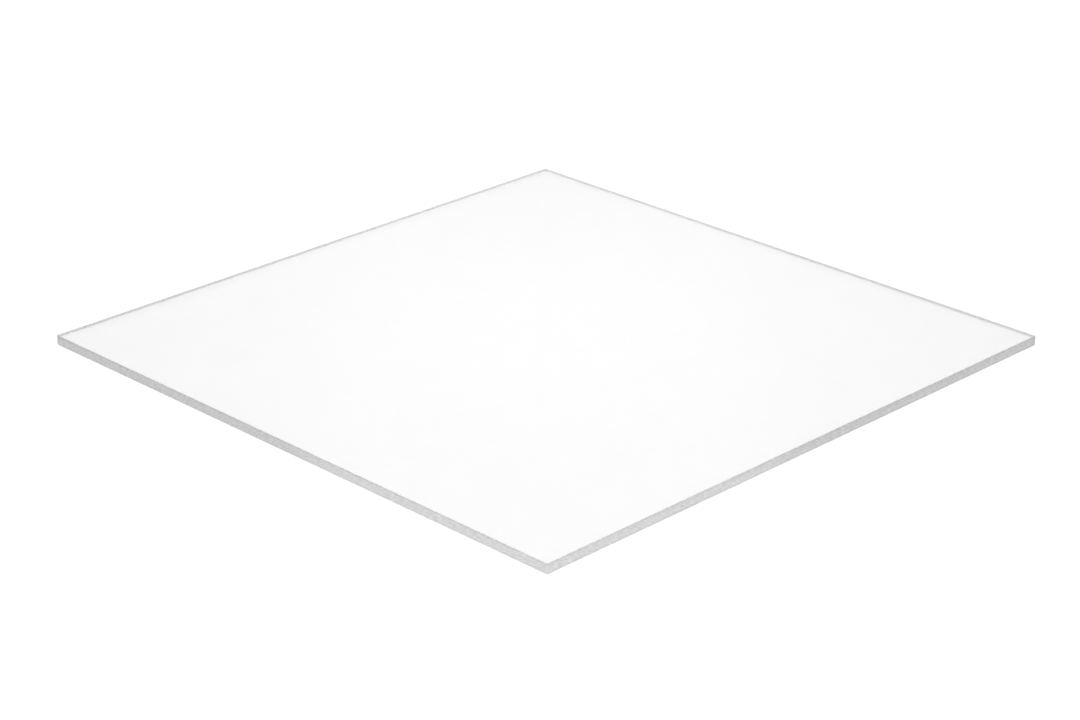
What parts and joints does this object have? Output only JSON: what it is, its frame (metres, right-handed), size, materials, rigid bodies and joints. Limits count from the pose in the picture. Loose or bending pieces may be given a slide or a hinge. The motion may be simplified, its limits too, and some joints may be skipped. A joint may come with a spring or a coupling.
{
  "type": "translucent acrylic sheet",
  "caption": "Square flat sheet of translucent acrylic with glossy cast faces and sawn edges, raw stock for panels, glazing, covers and boxes.",
  "frame": {"origin": "middle of the underside, where the sheet lies on the floor", "axes": "+Z through the thickness from the underside to the upper face; +X and +Y along the two pairs of sawn edges"},
  "size_m": [0.3048, 0.3048, 0.0045],
  "materials": {
    "acrylic": "gloss"
  },
  "bodies": {
    "root": {"acrylic_sheet": "acrylic"}
  },
  "joints": []
}
